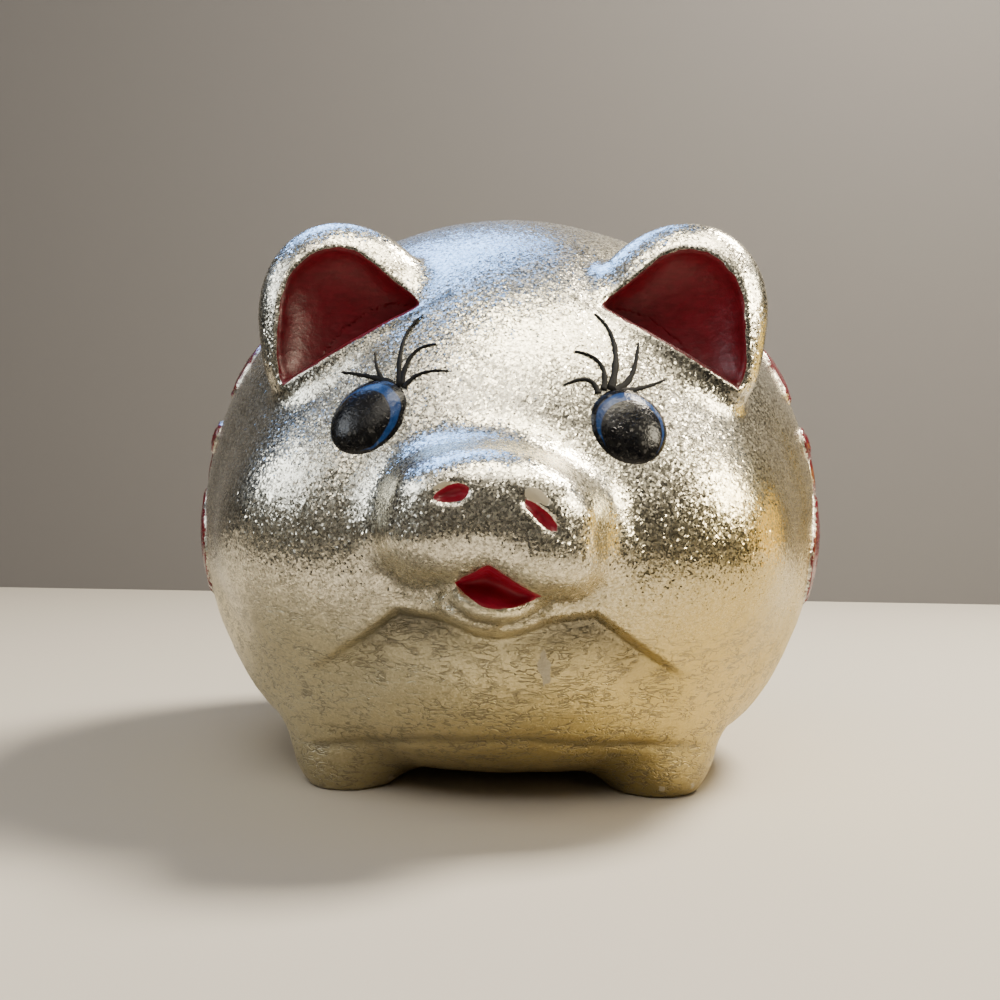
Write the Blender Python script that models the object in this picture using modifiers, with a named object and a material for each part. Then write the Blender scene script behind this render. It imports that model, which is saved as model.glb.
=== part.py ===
"""Piggy bank: a hollow pottery pig with a coin slot along its back.

The ears, the domed eyes, the curled tail and the blossom reliefs are separate pieces of
clay set on the shell, and a rubber stopper closes the hole in the belly.
The pig stands on z = 0 and looks along -Y, with its left side towards +X.
Sizes are in millimetres, and MM turns them into metres.
"""
import math

import bmesh
import bpy
import numpy as np
from mathutils import Matrix, Vector

MM = 0.001
GAP = 0.3

BODY_MIDDLE = np.array([0.0, 1.8, 40.2])
BODY_HALF_WIDTH = 51.5
BODY_FRONT = 53.0
BODY_REAR = 56.0
BODY_UP = 51.3
BODY_DOWN = 50.0
BELLY_HEIGHT = 1.1
BELLY_ROUND = 12.0
WALL = 4.6

FOOT_RADIUS = 8.6
FOOT_TOP = np.array([22.8, 0.0, 12.0])
FOOT_SOLE = np.array([23.6, 0.0, 6.0])
FRONT_FEET_Y = -21.2
REAR_FEET_Y = 25.6

CHEEK_AT = np.array([21.0, -31.2, 39.0])
CHEEK_RADII = np.array([19.0, 17.0, 17.0])
FACE_TILT = math.radians(7.0)
SNOUT_AT = np.array([0.0, -49.7, 43.0])
SNOUT_RADII = np.array([13.8, 12.0, 8.0])
LIP_PAD_AT = np.array([6.8, -49.7, 38.0])
LIP_PAD_RADII = np.array([8.0, 10.5, 5.6])
LOWER_LIP_AT = np.array([0.2, -49.2, 30.6])
LOWER_LIP_RADII = np.array([6.5, 6.0, 3.6])
MOUTH_AT = (0.0, -57.2, 33.5)
MOUTH_RADII = (5.4, 5.0, 2.6)
NOSTRIL_AT = (5.6, -61.2, 44.8)
NOSTRIL_RADII = (2.4, 3.0, 1.4)

EAR_BACK = -33.2
EAR_HEIGHT = 67.9
EAR_SIDE = {"left": 23.3, "right": -21.4}
EAR_RADII = (13.4, 6.2, 16.8)
EAR_TURN = (math.radians(-5.0), math.radians(26.0), math.radians(-9.0))
DISH_AT = (0.0, -5.4, 0.4)
DISH_RADII = (10.7, 6.5, 13.9)
DISH_FLOOR = -0.3

EYE_SIDE = 17.3
EYE_HEIGHT = {"left": 53.9, "right": 55.1}
EYE_HALF_SIZE = (5.7, 5.3)
EYE_RISE = 1.5

BLOSSOM_AT = (9.0, 46.0)
PETAL_RING = 12.6
PETAL_HALF_SIZE = (6.6, 6.2)
RELIEF_RISE = 1.3
LEAVES = {
    "lower_leaf": {"at": (-13.0, 37.0), "half_size": (4.6, 9.3), "spin": -12.0},
    "upper_leaf": {"at": (-11.4, 65.2), "half_size": (4.2, 6.4), "spin": -35.0},
    "bud": {"at": (-13.6, 53.6), "half_size": (2.8, 2.8), "spin": 0.0},
}

TAIL_HEIGHT = 47.0
TAIL_CURL = 6.3
TAIL_TIP_CURL = 2.6
TAIL_TURNS = 0.95
TAIL_RADIUS = 2.3
TAIL_TIP_RADIUS = 1.2
TAIL_POINTS = 24

SLOT_LENGTH = 38.0
SLOT_WIDTH = 5.0
SLOT_MIDDLE_Y = 10.0

HOLE_RADIUS = 11.0
HOLE_Y = 1.8
SEAT_RADIUS = 14.0
SEAT_HEIGHT = 3.1
PLUG_TOP = 8.2

SILVER = (0.62, 0.61, 0.58)
RED = (0.32, 0.012, 0.018)
BLACK = (0.012, 0.013, 0.016)
RUBBER = (0.05, 0.05, 0.05)


# ---- collections, materials and small helpers ----

def clear_scene():
    for old in list(bpy.data.objects):
        bpy.data.objects.remove(old, do_unlink=True)


def new_collection(name):
    group = bpy.data.collections.new(name)
    bpy.context.scene.collection.children.link(group)
    return group


def principled(name, colour, metallic, roughness):
    material = bpy.data.materials.new(name)
    material.use_nodes = True
    shader = material.node_tree.nodes["Principled BSDF"]
    shader.inputs["Base Color"].default_value = (*colour, 1.0)
    shader.inputs["Metallic"].default_value = metallic
    shader.inputs["Roughness"].default_value = roughness
    return material


def mesh_object(name, form, group):
    """An object made of a bmesh whose coordinates are in millimetres."""
    bmesh.ops.scale(form, vec=(MM, MM, MM), verts=form.verts)
    mesh = bpy.data.meshes.new(name)
    form.to_mesh(mesh)
    form.free()
    made = bpy.data.objects.new(name, mesh)
    group.objects.link(made)
    return made


def finish_part(made, colour, metallic=0.0, roughness=0.4, sharp_angle=40.0):
    made.data.materials.append(principled(made.name, colour, metallic, roughness))
    made.data.shade_smooth()
    made.data.set_sharp_from_angle(angle=math.radians(sharp_angle))


def hide_cutter(made):
    made.hide_render = True
    made.display_type = "WIRE"
    return made


def cut(made, cutter):
    boolean = made.modifiers.new("cut_" + cutter.name, "BOOLEAN")
    boolean.operation = "DIFFERENCE"
    boolean.solver = "EXACT"
    boolean.object = cutter


def move_origin(made, origin_mm):
    """Put the object's origin at a point without moving its surface."""
    shift = Vector(origin_mm) * MM
    made.data.transform(Matrix.Translation(-shift))
    made.location = shift


# ---- the pig's shape, as distances to smooth lobes ----

def ellipsoid(points, middle, radii):
    scaled = (points - middle) / radii
    reach = np.linalg.norm(scaled, axis=-1)
    slope = np.linalg.norm(scaled / radii, axis=-1)
    return reach * (reach - 1.0) / np.maximum(slope, 1e-9)


def capsule(points, start, end, radius):
    along = end - start
    share = np.clip((points - start) @ along / (along @ along), 0.0, 1.0)
    nearest = start + share[..., None] * along
    return np.linalg.norm(points - nearest, axis=-1) - radius


def blend(first, second, width):
    """The union of two lobes with a fillet about as wide as width."""
    mix = np.maximum(width - np.abs(first - second), 0.0) / width
    return np.minimum(first, second) - mix * mix * width * 0.25


def both_sides(points):
    """The points folded on to the pig's left side."""
    folded = points.copy()
    folded[..., 0] = np.abs(points[..., 0])
    return folded


def tilted(points):
    """The points turned so that the snout sits a little askew."""
    turned = points.copy()
    x = points[..., 0]
    z = points[..., 2] - SNOUT_AT[2]
    turned[..., 0] = x * math.cos(FACE_TILT) - z * math.sin(FACE_TILT)
    turned[..., 2] = SNOUT_AT[2] + x * math.sin(FACE_TILT) + z * math.cos(FACE_TILT)
    return turned


def egg(points, inset):
    """The round body, shrunk by inset and flattened under the belly."""
    offset = points - BODY_MIDDLE
    radii = np.empty_like(offset)
    radii[..., 0] = BODY_HALF_WIDTH - inset
    radii[..., 1] = np.where(offset[..., 1] < 0.0, BODY_FRONT, BODY_REAR) - inset
    radii[..., 2] = np.where(offset[..., 2] > 0.0, BODY_UP, BODY_DOWN) - inset
    round_body = ellipsoid(points, BODY_MIDDLE, radii)
    floor = BELLY_HEIGHT + inset - points[..., 2]
    return -blend(-round_body, -floor, BELLY_ROUND)


def body_shape(points):
    folded = both_sides(points)
    shape = egg(points, 0.0)
    for foot_y in (FRONT_FEET_Y, REAR_FEET_Y):
        along = np.array([0.0, foot_y, 0.0])
        foot = capsule(folded, FOOT_TOP + along, FOOT_SOLE + along, FOOT_RADIUS)
        shape = blend(shape, foot, 5.0)
    return shape


def head_shape(points):
    folded = both_sides(points)
    askew = tilted(points)
    snout = ellipsoid(askew, SNOUT_AT, SNOUT_RADII)
    lip_pads = ellipsoid(both_sides(askew), LIP_PAD_AT, LIP_PAD_RADII)
    shape = blend(body_shape(points), ellipsoid(folded, CHEEK_AT, CHEEK_RADII), 8.0)
    shape = blend(shape, blend(snout, lip_pads, 4.0), 5.0)
    return blend(shape, ellipsoid(askew, LOWER_LIP_AT, LOWER_LIP_RADII), 2.0)


def cavity_shape(points):
    return egg(points, WALL)


# ---- turning a shape into a mesh ----

def slide_to_level(shape, starts, directions, level, reach):
    """The outermost point along each ray where the shape's distance equals level."""
    steps = np.linspace(0.0, reach, 120)
    samples = starts[:, None, :] + steps[None, :, None] * directions[:, None, :]
    inside = shape(samples) < level
    last = inside.shape[1] - 1 - np.argmax(inside[:, ::-1], axis=1)
    low = steps[last]
    high = steps[np.minimum(last + 1, len(steps) - 1)]
    for _ in range(26):
        middle = 0.5 * (low + high)
        within = shape(starts + middle[:, None] * directions) < level
        low = np.where(within, middle, low)
        high = np.where(within, high, middle)
    return starts + (0.5 * (low + high))[:, None] * directions


def crowd_towards_snout(directions, crowding):
    """Draw a sphere's rings together round its front pole."""
    polar = np.arccos(np.clip(-directions[:, 1], -1.0, 1.0))
    share = polar / math.pi
    drawn = polar * (1.0 - crowding * (1.0 - share) ** 3)
    spread = np.linalg.norm(directions[:, [0, 2]], axis=1)
    outward = directions[:, [0, 2]] / np.maximum(spread, 1e-9)[:, None]
    crowded = np.empty_like(directions)
    crowded[:, 1] = -np.cos(drawn)
    crowded[:, [0, 2]] = outward * np.sin(drawn)[:, None]
    return crowded


def skin(name, shape, segments, rings, group, level=0.0, crowding=0.0):
    """A closed mesh: a sphere whose points slide out from the body's middle to the shape."""
    form = bmesh.new()
    bmesh.ops.create_uvsphere(form, u_segments=segments, v_segments=rings, radius=1.0)
    bmesh.ops.rotate(form, verts=form.verts, matrix=Matrix.Rotation(math.pi / 2, 3, "X"))
    directions = np.array([point.co for point in form.verts])
    if crowding:
        directions = crowd_towards_snout(directions, crowding)
    starts = np.repeat(BODY_MIDDLE[None, :], len(directions), axis=0)
    points = slide_to_level(shape, starts, directions, level, 90.0)
    for point, place in zip(form.verts, points):
        point.co = place
    return mesh_object(name, form, group)


def outward_frame(shape, middle):
    """Two tangents and the outward normal of a shape at a point near it."""
    nudges = np.eye(3) * 0.05
    normal = np.array([shape(middle + n) - shape(middle - n) for n in nudges])
    normal = normal / np.linalg.norm(normal)
    across = np.cross((0.0, 0.0, 1.0), normal)
    across = across / np.linalg.norm(across)
    return across, np.cross(normal, across), normal


def applied_lens(name, middle, half_size, rise, spin, segments, group):
    """A domed lens of clay that follows the head or flank, GAP above it."""
    across, upward, normal = outward_frame(head_shape, middle)
    form = bmesh.new()
    bmesh.ops.create_uvsphere(form, u_segments=segments, v_segments=6, radius=1.0)
    unit = np.array([point.co for point in form.verts])
    cos_spin = math.cos(math.radians(spin))
    sin_spin = math.sin(math.radians(spin))
    u = unit[:, 0] * half_size[0]
    v = unit[:, 1] * half_size[1]
    starts = (middle - 8.0 * normal
              + (u * cos_spin - v * sin_spin)[:, None] * across
              + (u * sin_spin + v * cos_spin)[:, None] * upward)
    levels = GAP + rise * np.maximum(unit[:, 2], 0.0)
    directions = np.repeat(normal[None, :], len(starts), axis=0)
    points = slide_to_level(lambda p: head_shape(p) - level_like(levels, p), starts,
                            directions, 0.0, 16.0)
    for point, place in zip(form.verts, points):
        point.co = place
    lens = mesh_object(name, form, group)
    move_origin(lens, middle)
    return lens


def level_like(levels, points):
    """The levels, shaped to broadcast over the points of each ray."""
    return levels if points.ndim == 2 else levels[:, None]


def on_surface(direction_from, direction):
    """The head's surface point on one ray."""
    start = np.array([direction_from], dtype=float)
    heading = np.array([direction], dtype=float)
    return slide_to_level(head_shape, start, heading, 0.0, 90.0)[0]


# ---- cutters ----

def ellipsoid_cutter(name, middle, radii, group, turn=None):
    form = bmesh.new()
    bmesh.ops.create_uvsphere(form, u_segments=16, v_segments=8, radius=1.0)
    bmesh.ops.scale(form, vec=radii, verts=form.verts)
    bmesh.ops.translate(form, vec=middle, verts=form.verts)
    if turn is not None:
        form.transform(turn)
    return hide_cutter(mesh_object(name, form, group))


def face_turn():
    """The snout's tilt about its own middle, as a matrix."""
    middle = Vector((0.0, 0.0, SNOUT_AT[2]))
    spin = Matrix.Rotation(FACE_TILT, 4, "Y")
    return Matrix.Translation(middle) @ spin @ Matrix.Translation(-middle)


def slot_cutter(group):
    form = bmesh.new()
    bmesh.ops.create_cube(form, size=1.0)
    bmesh.ops.scale(form, vec=(SLOT_WIDTH, SLOT_LENGTH, 24.0), verts=form.verts)
    upright = [e for e in form.edges if abs(e.verts[0].co.z - e.verts[1].co.z) > 1.0]
    bmesh.ops.bevel(form, geom=upright, offset=0.49 * SLOT_WIDTH, segments=4,
                    affect="EDGES", profile=0.5)
    bmesh.ops.translate(form, vec=(0.0, SLOT_MIDDLE_Y, 88.0), verts=form.verts)
    return hide_cutter(mesh_object("slot_cutter", form, group))


def ground_cutter(group):
    form = bmesh.new()
    bmesh.ops.create_cube(form, size=1.0)
    bmesh.ops.scale(form, vec=(160.0, 160.0, 20.0), verts=form.verts)
    bmesh.ops.translate(form, vec=(0.0, 0.0, -10.0), verts=form.verts)
    return hide_cutter(mesh_object("ground_cutter", form, group))


def turned(name, profile, group, segments=30):
    """A turned solid: a profile of (radius, height) pairs, top to bottom, swept about Z."""
    form = bmesh.new()
    corners = [form.verts.new((radius, 0.0, height)) for radius, height in profile]
    for first, second in zip(corners, corners[1:]):
        form.edges.new((first, second))
    made = mesh_object(name, form, group)
    made.location = (0.0, HOLE_Y * MM, 0.0)
    screw = made.modifiers.new("turn", "SCREW")
    screw.steps = segments
    screw.render_steps = segments
    screw.use_merge_vertices = True
    screw.merge_threshold = 0.00005
    screw.use_normal_calculate = False
    return made


def hole_cutter(group):
    profile = [
        (0.0, 20.0),
        (HOLE_RADIUS, 20.0),
        (HOLE_RADIUS, SEAT_HEIGHT),
        (SEAT_RADIUS, SEAT_HEIGHT),
        (SEAT_RADIUS, -5.0),
        (0.0, -5.0),
    ]
    return hide_cutter(turned("hole_cutter", profile, group))


def ear_frame(side):
    """The ear's place: its width runs down and outward and its back faces +Y."""
    mirror = 1.0 if side == "left" else -1.0
    tip, lean, yaw = EAR_TURN
    turn = (Matrix.Rotation(yaw * mirror, 4, "Z") @ Matrix.Rotation(lean * mirror, 4, "Y")
            @ Matrix.Rotation(tip, 4, "X"))
    return Matrix.Translation((EAR_SIDE[side], EAR_BACK, EAR_HEIGHT)) @ turn


def dish_cutter(side, group):
    """The hollow of the ear: an ellipsoid whose lower half is cut off level."""
    form = bmesh.new()
    bmesh.ops.create_uvsphere(form, u_segments=20, v_segments=12, radius=1.0)
    bmesh.ops.scale(form, vec=DISH_RADII, verts=form.verts)
    bmesh.ops.translate(form, vec=DISH_AT, verts=form.verts)
    everything = form.verts[:] + form.edges[:] + form.faces[:]
    sliced = bmesh.ops.bisect_plane(form, geom=everything, plane_co=(0.0, 0.0, DISH_FLOOR),
                                    plane_no=(0.0, 0.0, -1.0), clear_outer=True)
    rim = [e for e in sliced["geom_cut"] if isinstance(e, bmesh.types.BMEdge)]
    bmesh.ops.contextual_create(form, geom=rim)
    form.transform(ear_frame(side))
    bmesh.ops.recalc_face_normals(form, faces=form.faces)
    return hide_cutter(mesh_object(side + "_dish_cutter", form, group))


# ---- the pieces ----

def make_body_shell(parts, cutters, dishes):
    shell = skin("body_shell", head_shape, 60, 42, parts, crowding=0.45)
    cavity = hide_cutter(skin("cavity_cutter", cavity_shape, 26, 16, cutters))
    turn = face_turn()
    mouth = ellipsoid_cutter("mouth_cutter", MOUTH_AT, MOUTH_RADII, cutters, turn)
    cut(shell, cavity)
    cut(shell, slot_cutter(cutters))
    cut(shell, hole_cutter(cutters))
    cut(shell, ground_cutter(cutters))
    cut(shell, mouth)
    for side, sign in (("left", 1.0), ("right", -1.0)):
        place = (sign * NOSTRIL_AT[0], NOSTRIL_AT[1], NOSTRIL_AT[2])
        nostril = ellipsoid_cutter(side + "_nostril_cutter", place, NOSTRIL_RADII, cutters,
                                   turn)
        cut(shell, nostril)
        cut(shell, dishes[side])
    finish_part(shell, SILVER, metallic=1.0, roughness=0.35)
    return shell


def make_ear(side, parts, dish, head_cutter):
    form = bmesh.new()
    bmesh.ops.create_uvsphere(form, u_segments=22, v_segments=14, radius=1.0)
    bmesh.ops.scale(form, vec=EAR_RADII, verts=form.verts)
    form.transform(ear_frame(side))
    ear = mesh_object(side + "_ear", form, parts)
    cut(ear, dish)
    cut(ear, head_cutter)
    finish_part(ear, SILVER, metallic=1.0, roughness=0.35)
    move_origin(ear, (EAR_SIDE[side], EAR_BACK, EAR_HEIGHT))
    return ear


def make_eye(side, sign, parts):
    start = (sign * EYE_SIDE, BODY_MIDDLE[1], EYE_HEIGHT[side])
    middle = on_surface(start, (0.0, -1.0, 0.0))
    eye = applied_lens(side + "_eye", middle, EYE_HALF_SIZE, EYE_RISE, 0.0, 18, parts)
    finish_part(eye, BLACK, roughness=0.12)
    return eye


def relief(name, sign, at, half_size, spin, parts):
    middle = on_surface((0.0, at[0], at[1]), (sign, 0.0, 0.0))
    piece = applied_lens(name, middle, half_size, RELIEF_RISE, spin, 12, parts)
    finish_part(piece, RED, roughness=0.25)
    return piece


def make_blossom(side, sign, parts):
    """Five petals round a button, with two leaves and a bud ahead of them."""
    made = [relief(side + "_blossom_centre", sign, BLOSSOM_AT, (3.9, 3.9), 0.0, parts)]
    for number in range(5):
        around = math.radians(90.0 + 72.0 * number)
        at = (BLOSSOM_AT[0] - PETAL_RING * math.cos(around),
              BLOSSOM_AT[1] + PETAL_RING * math.sin(around))
        name = f"{side}_petal_{number + 1}"
        made.append(relief(name, sign, at, PETAL_HALF_SIZE, 0.0, parts))
    for name, leaf in LEAVES.items():
        spin = -sign * leaf["spin"]
        made.append(relief(f"{side}_{name}", sign, leaf["at"], leaf["half_size"], spin, parts))
    return made


def make_tail(parts):
    """A curl of clay that lies against the rump and thins to its tip."""
    line = bpy.data.curves.new("tail_line", "CURVE")
    line.dimensions = "3D"
    line.bevel_depth = TAIL_RADIUS * MM
    line.bevel_resolution = 2
    line.use_fill_caps = True
    spline = line.splines.new("POLY")
    spline.points.add(TAIL_POINTS - 1)
    for number, point in enumerate(spline.points):
        share = number / (TAIL_POINTS - 1)
        around = math.radians(90.0) + share * TAIL_TURNS * 2.0 * math.pi
        curl = TAIL_CURL + share * (TAIL_TIP_CURL - TAIL_CURL)
        radius = TAIL_RADIUS + share * (TAIL_TIP_RADIUS - TAIL_RADIUS)
        x = curl * math.cos(around)
        z = TAIL_HEIGHT + curl * math.sin(around)
        rump = on_surface((x, 0.0, z), (0.0, 1.0, 0.0))
        y = rump[1] + GAP + radius * 1.05
        point.co = (x * MM, y * MM, z * MM, 1.0)
        point.radius = radius / TAIL_RADIUS
    guide = bpy.data.objects.new("tail_guide", line)
    parts.objects.link(guide)
    bpy.context.view_layer.update()
    evaluated = guide.evaluated_get(bpy.context.evaluated_depsgraph_get())
    mesh = bpy.data.meshes.new_from_object(evaluated)
    form = bmesh.new()
    form.from_mesh(mesh)
    bmesh.ops.remove_doubles(form, verts=form.verts, dist=0.00001)
    bmesh.ops.recalc_face_normals(form, faces=form.faces)
    form.to_mesh(mesh)
    form.free()
    tail = bpy.data.objects.new("tail", mesh)
    parts.objects.link(tail)
    bpy.data.objects.remove(guide, do_unlink=True)
    finish_part(tail, SILVER, metallic=1.0, roughness=0.35)
    return tail


def make_stopper(parts):
    """A rubber plug under a thin flange that sits in the belly's recess."""
    plug = HOLE_RADIUS - GAP
    flange = SEAT_RADIUS - GAP
    flange_top = SEAT_HEIGHT - GAP
    profile = [
        (0.0, PLUG_TOP),
        (plug - 1.0, PLUG_TOP),
        (plug, PLUG_TOP - 1.2),
        (plug, flange_top),
        (flange, flange_top),
        (flange, 1.5),
        (flange - 0.6, 0.9),
        (4.2, 0.9),
        (3.4, 1.7),
        (0.0, 1.7),
    ]
    stopper = turned("stopper", profile, parts)
    finish_part(stopper, RUBBER, roughness=0.7)
    return stopper


def build():
    clear_scene()
    parts = new_collection("piggy_bank")
    cutters = new_collection("cutters")
    dishes = {side: dish_cutter(side, cutters) for side in EAR_SIDE}
    head_cutter = hide_cutter(skin("head_cutter", head_shape, 48, 36, cutters, level=GAP))
    shell = make_body_shell(parts, cutters, dishes)
    pieces = [make_tail(parts), make_stopper(parts)]
    for side, sign in (("left", 1.0), ("right", -1.0)):
        pieces.append(make_ear(side, parts, dishes[side], head_cutter))
        pieces.append(make_eye(side, sign, parts))
        pieces.extend(make_blossom(side, sign, parts))
    bpy.context.view_layer.update()
    for piece in pieces:
        piece.parent = shell
        piece.matrix_parent_inverse = shell.matrix_world.inverted()


build()
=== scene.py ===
"""The looks of the piggy bank: glittering silver lacquer over pottery, red enamel, painted eyes.

The shell, ears, tail and stopper are level surfaces of distance fields. The eyes, lashes and
flank reliefs are thin meshes laid on the shell's surface. Lengths are in millimetres in the CAD's
frame: the pig looks along -Y, stands on z = 0, and its left side is towards +X.
"""
import math

import bpy
import numpy as np
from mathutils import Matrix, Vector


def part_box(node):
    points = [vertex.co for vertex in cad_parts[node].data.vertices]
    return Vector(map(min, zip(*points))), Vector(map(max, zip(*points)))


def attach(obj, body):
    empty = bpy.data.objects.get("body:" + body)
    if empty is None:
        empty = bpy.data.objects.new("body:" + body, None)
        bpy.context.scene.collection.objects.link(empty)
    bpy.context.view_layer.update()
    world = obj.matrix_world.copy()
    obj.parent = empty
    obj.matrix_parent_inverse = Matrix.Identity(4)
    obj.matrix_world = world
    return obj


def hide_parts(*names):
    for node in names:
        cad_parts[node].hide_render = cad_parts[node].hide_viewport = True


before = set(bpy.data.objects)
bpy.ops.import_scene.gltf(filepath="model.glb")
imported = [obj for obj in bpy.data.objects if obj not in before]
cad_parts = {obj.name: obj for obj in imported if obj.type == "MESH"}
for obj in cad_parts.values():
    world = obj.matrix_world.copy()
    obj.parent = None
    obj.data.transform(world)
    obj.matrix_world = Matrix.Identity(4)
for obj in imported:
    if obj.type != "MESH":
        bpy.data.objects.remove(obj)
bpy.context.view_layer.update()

import openvdb
from mathutils import Matrix, Vector

MM = 0.001
FINE = 1.0

# ---- sizes in millimetres, as in the CAD ----
BODY_MIDDLE = np.array([0.0, 1.8, 40.2])
BODY_HALF_WIDTH = 51.5
BODY_FRONT = 53.0
BODY_REAR = 56.0
BODY_UP = 51.3
BODY_DOWN = 50.0
BELLY_HEIGHT = 1.1
BELLY_ROUND = 12.0
WALL = 4.6

FOOT_RADIUS = 8.6
FOOT_TOP = np.array([22.8, 0.0, 12.0])
FOOT_SOLE = np.array([23.6, 0.0, 6.0])
FRONT_FEET_Y = -21.2
REAR_FEET_Y = 25.6

CHEEK_AT = np.array([21.0, -31.2, 39.0])
CHEEK_RADII = np.array([19.0, 17.0, 17.0])
FACE_TILT = math.radians(7.0)
SNOUT_AT = np.array([0.0, -49.7, 43.0])
SNOUT_RADII = np.array([13.8, 12.0, 8.0])
SNOUT_SQUARENESS = 3.0
SNOUT_PITCH = math.tan(math.radians(4.0))
SNOUT_BACK = np.array([0.0, 0.5, 0.0])
LIP_PAD_AT = np.array([6.8, -49.7, 38.0])
LIP_PAD_RADII = np.array([8.0, 10.5, 5.6])
LOWER_LIP_AT = np.array([0.2, -49.2, 30.6])
LOWER_LIP_RADII = np.array([6.5, 6.0, 3.6])

EAR_BACK = -33.2
EAR_HEIGHT = 67.9
EAR_SIDE = {"left": 23.3, "right": -21.4}
EAR_RADII = np.array([13.4, 6.2, 16.8])
EAR_TURN = (math.radians(-5.0), math.radians(26.0), math.radians(-9.0))
DISH_OUTWARDS = 0.6
DISH_AT = np.array([0.0, -5.4, -0.8])
DISH_RADII = np.array([10.0, 6.5, 12.9])
DISH_FLOOR = -1.8
DISH_FLOOR_SLOPE = math.tan(math.radians(4.2))
EAR_FLARE = 0.08
DISH_FLARE = 0.26
FLARE_FROM = 6.5

EYE_RISE = 1.5
EYES = {
    "right": {"at": (-17.5, 54.9), "half_size": (5.95, 4.6), "turn": 42.0,
              "pupil": (-0.75, -0.95), "pupil_half_size": (4.55, 3.65)},
    "left": {"at": (17.1, 54.0), "half_size": (5.6, 4.8), "turn": -46.0,
             "pupil": (0.15, -1.15), "pupil_half_size": (4.25, 3.85)},
}
EYE_SINK = 0.5
LASHES = {
    "right": (
        ((-13.4, 59.0), (-13.4, 65.5), (-10.9, 69.4), 0.30),
        ((-13.1, 59.0), (-12.0, 63.4), (-8.7, 64.9), 0.32),
        ((-12.8, 58.7), (-10.6, 60.7), (-6.7, 61.0), 0.30),
        ((-14.1, 59.3), (-16.2, 60.4), (-17.4, 64.1), 0.36),
        ((-14.6, 59.5), (-18.2, 60.6), (-22.2, 61.3), 0.36),
    ),
    "left": (
        ((14.7, 58.8), (15.3, 65.4), (12.6, 69.9), 0.40),
        ((13.7, 58.7), (13.3, 62.5), (9.7, 64.1), 0.33),
        ((13.0, 58.2), (11.6, 60.1), (8.4, 59.2), 0.33),
        ((15.2, 58.8), (17.7, 61.3), (18.7, 67.0), 0.42),
        ((16.0, 58.8), (18.7, 59.2), (22.4, 60.7), 0.40),
    ),
}

BLOSSOM_AT = (9.0, 46.0)
PETAL_RING = 12.6
PETAL_HALF_SIZE = (6.6, 6.2)
RELIEF_RISE = 1.3
LEAVES = {
    "lower_leaf": {"at": (-13.0, 37.0), "half_size": (4.6, 9.3), "spin": -12.0},
    "upper_leaf": {"at": (-11.4, 65.2), "half_size": (4.2, 6.4), "spin": -35.0},
    "bud": {"at": (-13.6, 53.6), "half_size": (2.8, 2.8), "spin": 0.0},
}

TAIL_HEIGHT = 47.0
TAIL_CURL = 6.3
TAIL_TIP_CURL = 2.6
TAIL_TURNS = 0.95
TAIL_RADIUS = 2.3
TAIL_TIP_RADIUS = 1.2

SLOT_LENGTH = 38.0
SLOT_WIDTH = 5.0
SLOT_MIDDLE_Y = 10.0
HOLE_RADIUS = 11.0
HOLE_Y = 1.8
SEAT_RADIUS = 14.0
SEAT_HEIGHT = 3.1
GAP = 0.3


# ---- distance fields ----

def ellipsoid(points, middle, radii, squareness=2.0):
    scaled = np.abs(points - middle) / radii
    reach = np.sum(scaled ** squareness, axis=-1) ** (1.0 / squareness)
    slope = np.linalg.norm(scaled ** (squareness - 1.0) / radii, axis=-1)
    slope = slope / np.maximum(reach, 1e-6) ** (squareness - 1.0)
    return (reach - 1.0) / np.maximum(slope, 1e-6)


def button(points, middle, radii, squareness):
    """A thick disc facing along y, elliptical from the front and rounded at its edge."""
    scaled = np.abs(points - middle) / radii
    wide = np.hypot(scaled[..., 0], scaled[..., 2])
    reach = (wide ** squareness + scaled[..., 1] ** squareness) ** (1.0 / squareness)
    safe = np.maximum(reach, 1e-6)
    across = (wide / safe) ** (squareness - 1.0)
    along = (scaled[..., 1] / safe) ** (squareness - 1.0) / radii[1]
    tilt = np.hypot(scaled[..., 0] / radii[0], scaled[..., 2] / radii[2])
    slope = np.hypot(across * tilt / np.maximum(wide, 1e-6), along)
    return (reach - 1.0) / np.maximum(slope, 1e-6)


def capsule(points, start, end, start_radius, end_radius):
    along = end - start
    share = np.clip((points - start) @ along / (along @ along), 0.0, 1.0)
    nearest = start + share[..., None] * along
    radius = start_radius + share * (end_radius - start_radius)
    return np.linalg.norm(points - nearest, axis=-1) - radius


def blend(first, second, width):
    """The union of two shapes with a fillet about as wide as width."""
    mix = np.maximum(width - np.abs(first - second), 0.0) / width
    return np.minimum(first, second) - mix * mix * width * 0.25


def carve(shape, hollow, width):
    """The shape less the hollow, with its edge rounded about width."""
    return -blend(-shape, hollow, width)


def hump(value, width):
    """1 where the value is 0, falling smoothly to nothing either side."""
    return np.exp(-(value / width) ** 2)


def smooth_step(value, low, high):
    share = np.clip((value - low) / (high - low), 0.0, 1.0)
    return share * share * (3.0 - 2.0 * share)


def both_sides(points):
    folded = points.copy()
    folded[..., 0] = np.abs(points[..., 0])
    return folded


def in_plane(points, at, angle):
    """Distances along and across a direction from a place on the face, seen from the front."""
    x = points[..., 0] - at[0]
    z = points[..., 2] - at[1]
    return (x * math.cos(angle) + z * math.sin(angle),
            -x * math.sin(angle) + z * math.cos(angle))


def line_distance(points, route):
    """Distance in x and z from a route of straight legs, as seen from the front."""
    nearest = np.full(points.shape[:-1], 1e9)
    for start, end in zip(route, route[1:]):
        along = np.subtract(end, start)
        offset = points[..., [0, 2]] - np.array(start)
        share = np.clip(offset @ along / (along @ along), 0.0, 1.0)
        distance = np.linalg.norm(offset - share[..., None] * along, axis=-1)
        nearest = np.minimum(nearest, distance)
    return nearest


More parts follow.
